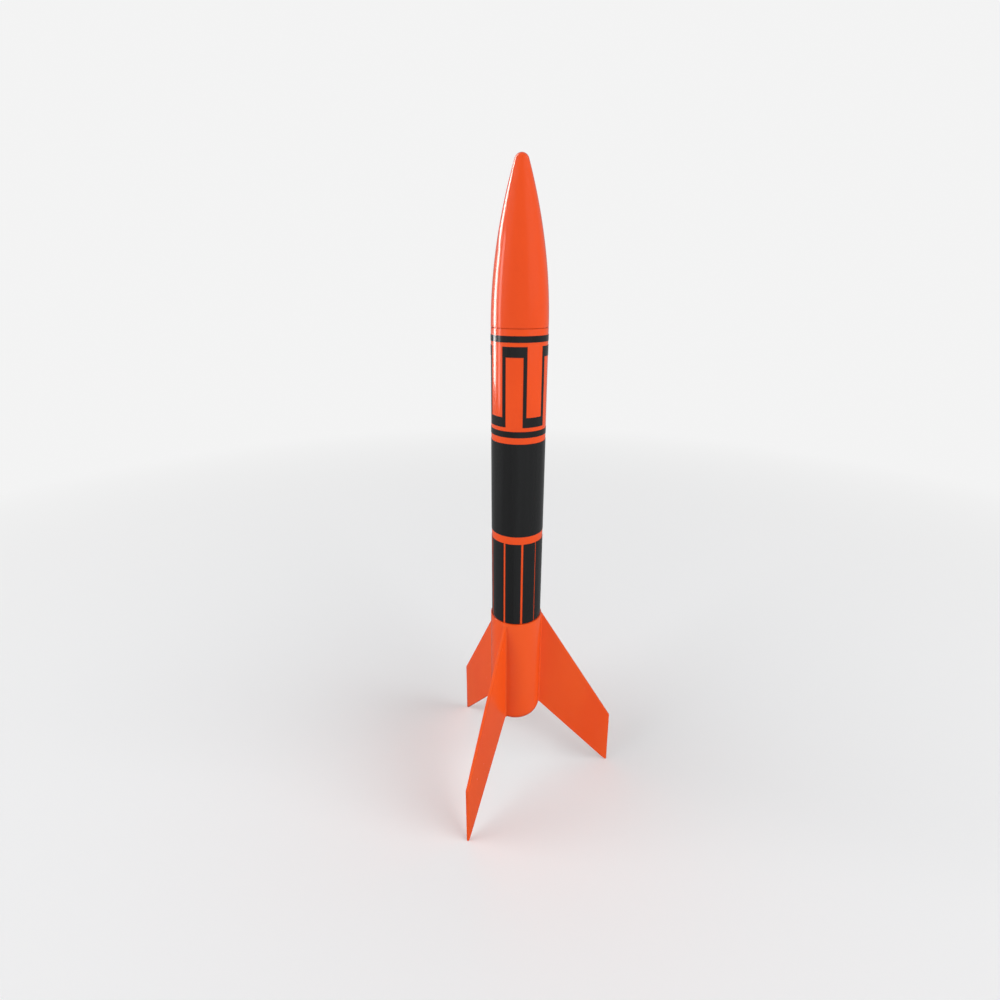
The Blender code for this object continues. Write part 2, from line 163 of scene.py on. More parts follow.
class Look:
    """A Principled material being put together from procedural nodes."""

    def __init__(self, name, colour, roughness, **settings):
        self.material = bpy.data.materials.new(name)
        self.material.use_nodes = True
        self.tree = self.material.node_tree
        self.shader = self.tree.nodes["Principled BSDF"]
        self.shader.inputs["Base Color"].default_value = (*colour, 1.0)
        self.shader.inputs["Roughness"].default_value = roughness
        for key, value in settings.items():
            self.shader.inputs[key.replace("_", " ")].default_value = value
        self.place = self.tree.nodes.new("ShaderNodeTexCoord").outputs["Object"]
        self.centre = AXIS
        self.normal = None

    def put(self, source, target):
        if hasattr(source, "links"):
            self.tree.links.new(source, target)
        else:
            target.default_value = source

    def math(self, operation, first, second=0.0):
        node = self.tree.nodes.new("ShaderNodeMath")
        node.operation = operation
        for socket, value in zip(node.inputs, (first, second)):
            self.put(value, socket)
        return node.outputs[0]

    def stretched(self, scale):
        """Object coordinates measured from the look's centre, then scaled along each axis."""
        node = self.tree.nodes.new("ShaderNodeMapping")
        node.inputs["Location"].default_value = [-a * s for a, s in zip(self.centre, scale)]
        node.inputs["Scale"].default_value = scale
        self.tree.links.new(self.place, node.inputs["Vector"])
        return node.outputs[0]

    def noise(self, scale, detail=3.0, roughness=0.55, stretch=(1.0, 1.0, 1.0)):
        node = self.tree.nodes.new("ShaderNodeTexNoise")
        node.inputs["Scale"].default_value = scale
        node.inputs["Detail"].default_value = detail
        node.inputs["Roughness"].default_value = roughness
        self.tree.links.new(self.stretched(stretch), node.inputs["Vector"])
        return node.outputs["Fac"]

    def ramp(self, value, low, high, out_low=0.0, out_high=1.0):
        node = self.tree.nodes.new("ShaderNodeMapRange")
        node.interpolation_type = "SMOOTHSTEP"
        self.put(value, node.inputs["Value"])
        limits = (("From Min", low), ("From Max", high), ("To Min", out_low), ("To Max", out_high))
        for name, number in limits:
            node.inputs[name].default_value = number
        return node.outputs["Result"]

    def mix(self, factor, first, second):
        node = self.tree.nodes.new("ShaderNodeMix")
        node.data_type = "RGBA"
        self.put(factor, node.inputs["Factor"])
        for name, value in (("A", first), ("B", second)):
            socket = [s for s in node.inputs if s.name == name and s.type == "RGBA"][0]
            self.put(value if hasattr(value, "links") else (*value, 1.0), socket)
        return [s for s in node.outputs if s.type == "RGBA"][0]

    def colour(self, value):
        self.tree.links.new(value, self.shader.inputs["Base Color"])

    def rough(self, value):
        self.tree.links.new(value, self.shader.inputs["Roughness"])

    def bump(self, height, strength, distance_mm):
        node = self.tree.nodes.new("ShaderNodeBump")
        node.inputs["Strength"].default_value = strength
        node.inputs["Distance"].default_value = distance_mm * MM
        self.tree.links.new(height, node.inputs["Height"])
        if self.normal is not None:
            self.tree.links.new(self.normal, node.inputs["Normal"])
        self.normal = node.outputs["Normal"]
        self.tree.links.new(self.normal, self.shader.inputs["Normal"])

    def azimuth_turns(self):
        """Azimuth about the look's centre in turns, and the height above it in metres."""
        split = self.tree.nodes.new("ShaderNodeSeparateXYZ")
        self.tree.links.new(self.stretched((1.0, 1.0, 1.0)), split.inputs[0])
        angle = self.math("ARCTAN2", split.outputs["Y"], split.outputs["X"])
        return self.math("DIVIDE", angle, math.tau), split.outputs["Z"]

    def radius(self):
        """Distance from the upright line through the look's centre, in metres."""
        flat = self.tree.nodes.new("ShaderNodeVectorMath")
        flat.operation = "LENGTH"
        self.tree.links.new(self.stretched((1.0, 1.0, 0.0)), flat.inputs[0])
        return flat.outputs["Value"]

    def spiral(self, pitch_mm, width):
        """1 along the seam of a strip wound round the look's centre, 0 between."""
        turns, height = self.azimuth_turns()
        climb = self.math("DIVIDE", height, pitch_mm * MM)
        phase = self.math("FRACT", self.math("ADD", climb, turns))
        off_seam = self.math("ABSOLUTE", self.math("SUBTRACT", phase, 0.5))
        return self.ramp(off_seam, 0.0, width, 1.0, 0.0)


def gloss_plastic(name, base, deep):
    """Injection-moulded styrene: even colour, faint flow marks, fine dust and handling scuffs."""
    look = Look(name, base, 0.24, Specular_IOR_Level=0.3, Coat_Weight=0.5, Coat_Roughness=0.08)
    flow = look.noise(38.0, 3.0, 0.5, (1.0, 1.0, 0.35))
    look.colour(look.mix(look.ramp(flow, 0.35, 0.7), base, deep))
    scuffs = look.noise(420.0, 5.0, 0.7, (1.0, 1.0, 0.25))
    look.rough(look.ramp(scuffs, 0.45, 0.8, 0.22, 0.29))
    look.bump(look.noise(160.0, 2.0), 0.02, 0.1)
    look.bump(look.noise(1800.0, 2.0), 0.01, 0.01)
    return look.material


ORANGE = (0.88, 0.08, 0.007)
DEEP_ORANGE = (0.86, 0.075, 0.0065)
# Painted light: the fin can is the same orange plastic, coloured lighter to stand in for the light
# that falls on the fins.
PAINTED_LIGHT_FIN_ORANGE = (0.9, 0.095, 0.009)


def orange_plastic():
    return gloss_plastic("orange_plastic", ORANGE, DEEP_ORANGE)


# The fin can's plastic: the nose's orange painted lighter, as painted light.
def painted_light_fin_plastic():
    return gloss_plastic("painted_light_fin_plastic", PAINTED_LIGHT_FIN_ORANGE, ORANGE)


def orange_coat():
    """Gloss coating over a spirally wound tube, whose strip edges just show through."""
    look = Look(
        "orange_coat", ORANGE, 0.24, Specular_IOR_Level=0.3, Coat_Weight=0.5, Coat_Roughness=0.08
    )
    look.colour(look.mix(look.ramp(look.noise(60.0), 0.35, 0.7), ORANGE, DEEP_ORANGE))
    look.rough(look.ramp(look.noise(500.0, 4.0), 0.45, 0.8, 0.22, 0.28))
    look.bump(look.spiral(27.0, 0.012), 0.15, -0.04)
    look.bump(look.noise(160.0, 2.0), 0.02, 0.06)
    return look.material


def black_film():
    """Glossy self-adhesive film with the slight ripple of a hand-laid wrap, small lighter specks of
    wear, and painted reflections in long upright streaks.
    """
    dark = (0.0095, 0.0098, 0.01)
    look = Look("black_film", dark, 0.2, Specular_IOR_Level=0.4)
    # The long upright lighter streaks are painted reflections of the lights, not marks in the film
    # itself.
    painted_reflection_streaks = look.ramp(look.noise(190.0, 2.0, 0.5, (1.0, 1.0, 0.02)), 0.35, 0.65)
    worn = look.ramp(look.noise(900.0, 5.0, 0.7), 0.56, 0.8)
    shade = look.math("MAXIMUM", worn, look.math("MULTIPLY", painted_reflection_streaks, 0.8))
    look.colour(look.mix(shade, dark, (0.0155, 0.016, 0.0165)))
    look.rough(look.ramp(look.noise(240.0, 4.0, 0.6, (1.0, 1.0, 0.3)), 0.35, 0.75, 0.14, 0.26))
    look.bump(look.noise(150.0, 2.0, 0.5, (1.0, 1.0, 0.06)), 0.1, 0.2)
    look.bump(look.noise(1500.0, 3.0), 0.03, 0.01)
    return look.material


def wound_paper(name, base, dark, pitch_mm, roughness, centre):
    """Paper wound spirally about centre, with fibres and open strip edges."""
    look = Look(name, base, roughness)
    look.centre = centre
    fibres = look.noise(700.0, 6.0, 0.7, (1.0, 1.0, 0.3))
    seam = look.spiral(pitch_mm, 0.02)
    shade = look.math("MAXIMUM", look.ramp(fibres, 0.45, 0.75, 0.0, 0.6), seam)
    look.colour(look.mix(shade, base, dark))
    look.bump(seam, 0.6, -0.1)
    look.bump(fibres, 0.35, 0.06)
    return look.material


def pressed_powder(name, base, dark, grain):
    look = Look(name, base, 0.92)
    grit = look.noise(grain, 6.0, 0.75)
    look.colour(look.mix(look.ramp(grit, 0.4, 0.66), base, dark))
    look.bump(grit, 0.7, 0.12)
    return look.material


def spring_steel():
    base = (0.56, 0.56, 0.57)
    look = Look("spring_steel", base, 0.28, Metallic=1.0)
    drawn = look.noise(900.0, 4.0, 0.6, (1.0, 1.0, 0.03))
    look.colour(look.mix(look.ramp(drawn, 0.4, 0.7), base, (0.42, 0.42, 0.44)))
    look.rough(look.ramp(drawn, 0.35, 0.7, 0.22, 0.42))
    look.bump(drawn, 0.15, 0.02)
    return look.material


def rolled_paper():
    """The motor's casing: kraft rolled in many layers, which show as rings on its ends."""
    base = (0.42, 0.27, 0.145)
    look = Look("motor_paper", base, 0.55)
    fibres = look.noise(800.0, 6.0, 0.7, (1.0, 1.0, 0.4))
    layers = look.math("SINE", look.math("MULTIPLY", look.radius(), math.tau / (0.3 * MM)))
    rings = look.ramp(layers, -1.0, 1.0)
    look.colour(look.mix(look.ramp(fibres, 0.4, 0.75), base, (0.3, 0.18, 0.09)))
    look.bump(rings, 0.3, 0.05)
    look.bump(fibres, 0.3, 0.05)
    return look.material


def tissue():
    base = (0.8, 0.72, 0.55)
    look = Look("tissue", base, 0.95, Sheen_Weight=0.2)
    creases = look.noise(260.0, 6.0, 0.65)
    look.colour(look.mix(look.ramp(creases, 0.35, 0.7), base, (0.66, 0.57, 0.42)))
    look.bump(creases, 0.9, 0.5)
    return look.material


def braid(name, base, dark, pitch_mm):
    """Fine crossing strands along a cord."""
    look = Look(name, base, 0.75, Sheen_Weight=0.15)
    waves = []
    for slant in (1.0, -1.0):
        wave = look.tree.nodes.new("ShaderNodeTexWave")
        wave.inputs["Scale"].default_value = 0.3 / (pitch_mm * MM)
        wave.inputs["Distortion"].default_value = 0.6
        place = look.stretched((slant, 1.0, 1.0))
        look.tree.links.new(place, wave.inputs["Vector"])
        wave.bands_direction = "DIAGONAL"
        waves.append(wave.outputs["Fac"])
    strands = look.math("MULTIPLY", waves[0], waves[1])
    # The low gaps between the strands are coloured darker: painted shade in the recesses.
    look.colour(look.mix(look.ramp(strands, 0.0, 0.35), dark, base))
    look.bump(strands, 0.6, 0.12)
    return look.material


def canopy_film(name, base, deep):
    """Thin polythene: glossy, wrinkled, and light passes through it a little."""
    look = Look(name, base, 0.3, IOR=1.45, Coat_Weight=0.2, Coat_Roughness=0.2)
    wrinkles = look.noise(170.0, 5.0, 0.6, (1.0, 1.0, 0.3))
    look.colour(look.mix(look.ramp(wrinkles, 0.3, 0.7), base, deep))
    look.bump(wrinkles, 0.7, 0.5)
    look.bump(look.noise(900.0, 3.0), 0.25, 0.08)
    return look.material


def smooth_paper(name, base, dark):
    look = Look(name, base, 0.7)
    fibres = look.noise(1100.0, 5.0, 0.7)
    look.colour(look.mix(look.ramp(fibres, 0.5, 0.8), base, dark))
    look.bump(fibres, 0.3, 0.03)
    return look.material


def dried_glue():
    look = Look("dried_glue", (0.84, 0.8, 0.7), 0.25, Transmission_Weight=0.25, IOR=1.47)
    look.bump(look.noise(420.0, 3.0), 0.5, 0.2)
    return look.material


# Mesh helpers

def place_mesh(name, shape, looks, sharp=35.0):
    """Turn a bmesh drawn in millimetres about the rocket's axis into an object in the frame."""
    bmesh.ops.remove_doubles(shape, verts=shape.verts, dist=1e-4)
    bmesh.ops.recalc_face_normals(shape, faces=shape.faces)
    bmesh.ops.scale(shape, vec=(MM, MM, MM), verts=shape.verts)
    bmesh.ops.translate(shape, vec=AXIS, verts=shape.verts)
    mesh = bpy.data.meshes.new(name)
    shape.to_mesh(mesh)
    shape.free()
    mesh.shade_smooth()
    mesh.set_sharp_from_angle(angle=math.radians(sharp))
    for look in looks:
        mesh.materials.append(look)
    made = bpy.data.objects.new(name, mesh)
    bpy.context.scene.collection.objects.link(made)
    return made


def arc(centre_r, centre_z, radius, start, end, steps):
    """Points of an arc in the outline's plane; angles in degrees up from the radial axis."""
    points = []
    for i in range(steps + 1):
        angle = math.radians(start + (end - start) * i / steps)
        points.append((centre_r + radius * math.cos(angle), centre_z + radius * math.sin(angle)))
    return points


def around(radius, azimuth, z):
    angle = math.radians(azimuth)
    return Vector((radius * math.cos(angle), radius * math.sin(angle), z))


def spin_round(shape, geometry, steps):
    """Sweep geometry once round Z into a closed surface."""
    bmesh.ops.spin(
        shape, geom=geometry, cent=(0, 0, 0), axis=(0, 0, 1),
        angle=math.tau, steps=steps, use_merge=True,
    )


def turn_to(shape, azimuth):
    """Turn a shape that is drawn on the X side of the axis round to azimuth."""
    turn = Matrix.Rotation(math.radians(azimuth), 3, "Z")
    bmesh.ops.rotate(shape, verts=shape.verts, matrix=turn)


def skin(shape, rings):
    """Join rings of points, in their order, into a closed solid with a face over each end."""
    count = len(rings[0])
    for first, second in zip(rings, rings[1:]):
        for k in range(count):
            after = (k + 1) % count
            shape.faces.new((first[k], first[after], second[after], second[k]))
    shape.faces.new(rings[0])
    shape.faces.new(rings[-1])


def turned(name, outline, looks, slot, steps=128, split_r=None, out_from_axis=0.0, azimuth=0.0):
    """A solid of revolution from a closed outline. Faces nearer the axis than split_r take the
    second look. out_from_axis moves the solid out along azimuth."""
    shape = bmesh.new()
    verts = [shape.verts.new((r, 0.0, z)) for r, z in outline]
    edges = []
    for start, end in zip(verts, verts[1:] + verts[:1]):
        if start.co.x > 0.0 or end.co.x > 0.0:
            edges.append(shape.edges.new((start, end)))
    spin_round(shape, verts + edges, steps)
    if split_r is not None:
        for face in shape.faces:
            face.material_index = int(face.calc_center_median().xy.length < split_r)
    bmesh.ops.translate(shape, verts=shape.verts, vec=around(out_from_axis, azimuth, 0.0))
    return place_mesh(name, shape, looks)


def round_tube(name, inside, outside, bottom, top, looks, slot, soft, **where):
    """A tube with softly rounded rims."""
    soft = min(soft, (outside - inside) / 2.2)
    outline = arc(outside - soft, bottom + soft, soft, -90.0, 0.0, 3)
    outline += arc(outside - soft, top - soft, soft, 0.0, 90.0, 3)
    outline += arc(inside + soft, top - soft, soft, 90.0, 180.0, 3)
    outline += arc(inside + soft, bottom + soft, soft, 180.0, 270.0, 3)
    return turned(name, outline, looks, slot, split_r=inside + soft * 0.9, **where)


def apply_modifiers(obj):
    """Bake the modifiers of obj into its mesh."""
    graph = bpy.context.evaluated_depsgraph_get()
    mesh = bpy.data.meshes.new_from_object(obj.evaluated_get(graph))
    obj.modifiers.clear()
    old = obj.data
    obj.data = mesh
    bpy.data.meshes.remove(old)


def boolean(target, helper, operation):
    modifier = target.modifiers.new(helper.name, "BOOLEAN")
    modifier.operation = operation
    modifier.solver = "EXACT"
    modifier.object = helper
    apply_modifiers(target)
    bpy.data.objects.remove(helper)


def smooth_route(points, spacing):
    """Points about spacing apart on a Catmull-Rom curve through the given points."""
    knots = [Vector(p) for p in points]
    knots = [2 * knots[0] - knots[1]] + knots + [2 * knots[-1] - knots[-2]]
    route = []
    for a, b, c, d in zip(knots, knots[1:], knots[2:], knots[3:]):
        pieces = max(2, round((c - b).length / spacing))
        for i in range(pieces):
            t = i / pieces
            route.append(
                0.5 * (2 * b + (c - a) * t + (2 * a - 5 * b + 4 * c - d) * t**2
                       + (3 * b - a - 3 * c + d) * t**3)
            )
    route.append(knots[-2])
    return route


def tube_along(name, route, radius, look, sides):
    """A round cord's mesh along route, with closed ends, free of twist."""
    shape = bmesh.new()
    rings = []
    tangent = (route[1] - route[0]).normalized()
    side = tangent.orthogonal().normalized()
    for i, point in enumerate(route):
        ahead = route[min(i + 1, len(route) - 1)]
        behind = route[max(i - 1, 0)]
        new_tangent = (ahead - behind).normalized()
        side = (tangent.rotation_difference(new_tangent) @ side).normalized()
        tangent = new_tangent
        up = tangent.cross(side)
        ring = []
        for k in range(sides):
            angle = math.tau * k / sides
            offset = side * math.cos(angle) + up * math.sin(angle)
            ring.append(shape.verts.new(point + offset * radius))
        rings.append(ring)
    skin(shape, rings)
    return place_mesh(name, shape, [look])


# Nose

def ogive_outline(inset):
    """The nose's side from its joint to its blunt tip, moved inwards by inset."""
    arc_centre = -(OGIVE_ARC - TUBE_R)
    tip_z = JOINT_Z + math.sqrt((OGIVE_ARC - NOSE_TIP_R) ** 2 - arc_centre**2)
    meeting = math.degrees(math.atan2(tip_z - JOINT_Z, -arc_centre))
    side = arc(arc_centre, JOINT_Z, OGIVE_ARC - inset, 0.0, meeting, 48)
    tip = arc(0.0, tip_z, NOSE_TIP_R - inset, meeting, 90.0, 12)[1:-1]
    return side + tip + [(0.0, tip_z + NOSE_TIP_R - inset)]


def make_nose(plastic):
    wall = 1.2
    soft = 0.14
    web = 2.0
    lead_in_r = 0.5
    lead_in_z = 0.8
    outline = arc(TUBE_R - soft, JOINT_Z + soft, soft, -90.0, 0.0, 4)
    outline += [p for p in ogive_outline(0.0) if p[1] > JOINT_Z + soft]
    inner = [p for p in ogive_outline(wall) if p[1] > JOINT_Z + web]
    outline += inner[::-1]
    outline += [
        (SHOULDER_INSIDE, JOINT_Z),
        (SHOULDER_INSIDE, SHOULDER_BOTTOM),
        (SHOULDER_R - lead_in_r, SHOULDER_BOTTOM),
        (SHOULDER_R, SHOULDER_BOTTOM + lead_in_z),
        (SHOULDER_R, JOINT_Z),
    ]
    nose = turned("nose_shell", outline, [plastic], "orange_plastic")
    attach(nose, "nose")
    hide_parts("nose_cone")


def make_nose_base(plastic):
    """The shoulder's plug, a shallow cup, with a moulded eyelet below it."""
    low = EYELET_Z + 4.5
    plug_r = SHOULDER_INSIDE - 0.3
    soft = 0.4
    rim_z = low + 2.6
    rim_inside = plug_r - 1.4
    plate_z = low + 1.2
    outline = [(0.0, low)]
    outline += arc(plug_r - soft, low + soft, soft, -90.0, 0.0, 4)
    outline += [(plug_r, rim_z), (rim_inside, rim_z), (rim_inside, plate_z), (0.0, plate_z)]
    plug = turned("nose_plug", outline, [plastic], "orange_plastic", steps=96)
    ring_r = 3.0
    shape = bmesh.new()
    bmesh.ops.create_circle(
        shape, segments=20, radius=EYELET_BAR_R,
        matrix=Matrix.Translation((ring_r, 0, 0)) @ Matrix.Rotation(math.pi / 2, 4, "X"),
    )
    spin_round(shape, list(shape.verts) + list(shape.edges), 56)
    bmesh.ops.rotate(shape, verts=shape.verts, matrix=Matrix.Rotation(math.pi / 2, 3, "X"))
    bmesh.ops.translate(shape, verts=shape.verts, vec=(0.0, 0.0, EYELET_Z + ring_r + EYELET_BAR_R))
    boolean(plug, place_mesh("eyelet", shape, [plastic]), "UNION")
    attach(plug, "nose")
    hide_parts("nose_base")


# Airframe

def make_body_tube(coat, kraft):
    tube = round_tube(
        "tube_shell", TUBE_R - TUBE_WALL, TUBE_R, TUBE_BOTTOM, TUBE_TOP, [coat, kraft],
        "orange_tube", soft=0.1,
    )
    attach(tube, "airframe")
    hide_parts("body_tube")


def make_film(name, patches, look):
    """Film on the tube, in patches of (azimuth, azimuth, z, z) that join where they touch."""
    off_tube = 0.02
    facet = 3.0
    radius = TUBE_R + off_tube
    turns = set()
    levels = set()
    for start, end, low, high in patches:
        pieces = max(1, math.ceil((end - start) / facet))
        turns |= {round(start + (end - start) * i / pieces, 4) for i in range(pieces + 1)}
        levels |= {low, high}
    turns = sorted(turns)
    levels = sorted(levels)
    shape = bmesh.new()
    corners = {}

    def corner(turn, level):
        if (turn, level) not in corners:
            corners[turn, level] = shape.verts.new(around(radius, turn, level))
        return corners[turn, level]

    for left, right in zip(turns, turns[1:]):
        for low, high in zip(levels, levels[1:]):
            mid_turn = (left + right) / 2
            mid_level = (low + high) / 2
            if any(a < mid_turn < b and c < mid_level < d for a, b, c, d in patches):
                shape.faces.new(
                    (corner(left, low), corner(right, low), corner(right, high), corner(left, high))
                )
    bmesh.ops.remove_doubles(shape, verts=shape.verts, dist=1e-4)
    lifted = bmesh.ops.extrude_face_region(shape, geom=list(shape.faces), use_keep_orig=True)
    for item in lifted["geom"]:
        if isinstance(item, bmesh.types.BMVert):
            item.co.xy *= (radius + FILM) / radius
    film = place_mesh(name, shape, [look])
    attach(film, "airframe")


def make_films(look):
    seam = 92.0
    gap = 0.8
    above_can = 0.25
    for number, (low, high) in enumerate(THIN_BANDS, start=1):
        make_film(f"film_band_{number}", [(seam - 360.0 + gap, seam, low, high)], look)
    make_film("film_wide_wrap", [(seam - 360.0 + gap, seam, *WIDE_WRAP)], look)
    half = math.degrees(KEY_STROKE / 2 / TUBE_R)
    strokes = [KEY_FIRST + KEY_STEP * i for i in range(KEY_STROKES)]
    key = [(turn - half, turn + half, KEY_BOTTOM, KEY_TOP) for turn in strokes]
    for number, (left, right) in enumerate(zip(strokes, strokes[1:])):
        if number % 2:
            key.append((left - half, right + half, KEY_TOP - KEY_BAR, KEY_TOP))
        else:
            key.append((left - half, right + half, KEY_BOTTOM, KEY_BOTTOM + KEY_BAR))
    make_film("film_square_key", key, look)
    following = PANEL_LINES[1:] + ((PANEL_LINES[0][0] + 360.0, PANEL_LINES[0][1]),)
    for number, (line, after) in enumerate(zip(PANEL_LINES, following), start=1):
        left = line[0] + math.degrees(line[1] / 2 / TUBE_R)
        right = after[0] - math.degrees(after[1] / 2 / TUBE_R)
        make_film(f"film_panel_{number}", [(left, right, CAN_TOP + above_can, PANEL_TOP)], look)


def fin_edges(radius):
    """(leading z, trailing z) of a fin at a radius, up to the top corner of its tip."""
    lead_slope = (FIN_ROOT_TOP - FIN_TIP_TOP_Z) / (FIN_TIP_TOP_R - CAN_R)
    trail_slope = FIN_ROOT_BOTTOM / (FIN_TIP_R - FIN_FOOT - CAN_R)
    lead = FIN_ROOT_TOP - lead_slope * (radius - CAN_R)
    trail = FIN_ROOT_BOTTOM - trail_slope * (radius - CAN_R)
    return lead, max(0.0, trail)


def fin_half(radius):
    """Half the fin's thickness, flared into a small fillet at the root."""
    out = radius - CAN_R
    if out >= FIN_FILLET:
        return FIN_HALF
    rise = math.sqrt(max(0.0, FIN_FILLET**2 - (FIN_FILLET - out) ** 2))
    return FIN_HALF + FIN_FILLET - rise


def fin_section(half, lead, trail):
    """A fin's cross-section as (y, z) points: rounded edges, and flat sides that begin with a
    narrow strip, which keeps their shading flat."""
    round_z = 0.55
    strip = 0.25
    steps = 5
    section = []
    for side, edge in ((1.0, lead), (-1.0, trail)):
        centre = edge - side * round_z
        section.append((side * half, centre - side * strip))
        for k in range(steps + 1):
            angle = math.pi * k / steps
            section.append((side * half * math.cos(angle), centre + side * round_z * math.sin(angle)))
        section.append((-side * half, centre - side * strip))
    return section


def make_fin(number, azimuth, look):
    """One fin as rows of cross-sections, from inside the sleeve's wall out to the slanting tip."""
    into_wall = 0.28
    just_inside = 0.1
    above_boattail = LEDGE_Z - 2.0
    curved_rows = 6
    flat_rows = 16
    radii = [CAN_R - into_wall, CAN_R - just_inside]
    for i in range(curved_rows + 1):
        radii.append(CAN_R + FIN_FILLET * (1.0 - math.cos(math.pi / 2 * i / curved_rows)))
    straight = FIN_TIP_TOP_R - CAN_R - FIN_FILLET
    radii += [CAN_R + FIN_FILLET + straight * i / flat_rows for i in range(1, flat_rows + 1)]
    shape = bmesh.new()
    rings = []
    for radius in radii:
        lead, trail = fin_edges(radius)
        if radius < CAN_R:
            trail = max(trail, above_boattail)
        section = fin_section(fin_half(radius), lead, trail)
        rings.append([shape.verts.new((radius, y, z)) for y, z in section])
    last = [vert.co.copy() for vert in rings[-1]]
    least_step = 0.02
    for inset, thickness in ((0.25, 0.85), (0.0, 0.45)):
        ring = []
        for co in last:
            down = 1.0 - co.z / FIN_TIP_TOP_Z
            edge_r = FIN_TIP_TOP_R + (FIN_TIP_R - FIN_TIP_TOP_R) * down - inset
            ring.append(shape.verts.new((max(edge_r, co.x + least_step), co.y * thickness, co.z)))
        rings.append(ring)
    skin(shape, rings)
    turn_to(shape, azimuth)
    return place_mesh(f"fin_{number}", shape, [look])


def cut_for_hook(target, name, inside, outside, bottom, top):
    """Cut the room that the hook's strip needs out of target."""
    half = 1.9
    low = Vector((inside, -half, bottom))
    high = Vector((outside, half, top))
    size = Matrix.Diagonal((high - low).to_4d())
    shape = bmesh.new()
    bmesh.ops.create_cube(shape, size=1.0, matrix=Matrix.Translation((low + high) / 2) @ size)
    turn_to(shape, LUG_AZIMUTH)
    boolean(target, place_mesh(name, shape, []), "DIFFERENCE")


def make_fin_can(look):
    bore = TUBE_R + 0.2
    soft = 0.2
    drop = 0.75
    lowest = math.degrees(math.asin(drop))
    turn_z = CAN_BOTTOM + BOATTAIL_ARC * drop
    outline = [(bore, CAN_TOP)]
    outline += arc(CAN_R - soft, CAN_TOP - soft, soft, 90.0, 0.0, 4)
    outline += arc(CAN_R - BOATTAIL_ARC, turn_z, BOATTAIL_ARC, 0.0, -lowest, 14)
    outline += [(CAN_BORE, CAN_BOTTOM), (CAN_BORE, LEDGE_Z), (bore, LEDGE_Z)]
    can = turned("fin_can_shell", outline, [look], "orange_plastic")
    for number, azimuth in enumerate(FIN_AZIMUTHS, start=1):
        boolean(can, make_fin(number, azimuth, look), "UNION")
    cut_for_hook(can, "hook_slot", MOUNT_R, CAN_R + 2.0, CAN_BOTTOM - 2.0, LEDGE_Z - 0.4)
    can.data.shade_smooth()
    can.data.set_sharp_from_angle(angle=math.radians(32))
    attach(can, "airframe")
    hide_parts("fin_can")


def make_lug(paper, glue):
    lug = round_tube(
        "lug_tube", LUG_R - LUG_WALL, LUG_R, LUG_BOTTOM, LUG_TOP, [paper], "white_paper",
        soft=0.08, steps=64, out_from_axis=LUG_OUT, azimuth=LUG_AZIMUTH,
    )
    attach(lug, "airframe")
    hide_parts("launch_lug")
    for number, side in enumerate((-1.0, 1.0), start=1):
        bead = make_glue_bead(f"glue_bead_{number}", side, glue)
        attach(bead, "airframe")


def make_glue_bead(name, side, look):
    """A fillet of glue in the corner between the lug and the tube, on one side of the lug."""
    rows = 40
    ends = 0.6
    widest = 1.35
    narrowest = 0.12
    hollow = 0.38
    in_tube = TUBE_R - 0.05
    in_lug = LUG_R - 0.08
    shape = bmesh.new()
    rings = []
    for i in range(rows + 1):
        share = i / rows
        z = LUG_BOTTOM + ends + (LUG_TOP - LUG_BOTTOM - 2 * ends) * share
        swell = math.sin(math.pi * share) ** 0.25
        wobble = 1.0 + 0.18 * noise.noise(Vector((z * 0.35, side * 3.0, 0.0)))
        reach = max(narrowest, widest * swell * wobble)
        foot = around(in_tube, side * math.degrees(reach / TUBE_R), z)
        corner = around(in_tube, side * 0.6, z)
        turn = 0.55 * reach
        on_lug = Vector((LUG_OUT - in_lug * math.cos(turn), side * in_lug * math.sin(turn), z))
        sag = (foot + on_lug) / 2 * (1.0 - hollow) + corner * hollow
        rings.append([shape.verts.new(p) for p in (corner, foot, sag, on_lug)])
    skin(shape, rings)
    turn_to(shape, LUG_AZIMUTH)
    return place_mesh(name, shape, [look], sharp=60.0)


def make_mount_tube(kraft):
    bottom, top = span_z("engine_mount_tube")
    tube = round_tube(
        "mount_tube_shell", MOUNT_BORE, MOUNT_R, bottom, top, [kraft], "kraft_paper", soft=0.08
    )
    through = 1.5
    room = 2 * HOOK_HALF
    cut_for_hook(
        tube, "prong_slot", MOUNT_BORE - through, MOUNT_BORE + through,
        HOOK_PRONG_Z - room, HOOK_PRONG_Z + room,
    )
    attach(tube, "airframe")
    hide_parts("engine_mount_tube")


def rounded_path(points, radius, steps):
    """A polyline in the outline's plane with its corners rounded."""
    path = [Vector(points[0])]
    for before, corner, after in zip(points, points[1:], points[2:]):
        here = Vector(corner)
        back = (Vector(before) - here).normalized() * radius
        ahead = (Vector(after) - here).normalized() * radius
        for i in range(steps + 1):
            t = i / steps
            path.append(here + back * (1 - t) ** 2 + ahead * t**2)
    path.append(Vector(points[-1]))
    return path


def strip_section(half_width, half, soft):
    """A flat strip's section, corners rounded, as (across the strip, through it) points."""
    section = []
    for start, across, through in ((0.0, 1, 1), (90.0, -1, 1), (180.0, -1, -1), (270.0, 1, -1)):
        centre = (across * (half_width - soft), through * (half - soft))
        section += arc(*centre, soft, start, start + 90.0, 2)
    return section


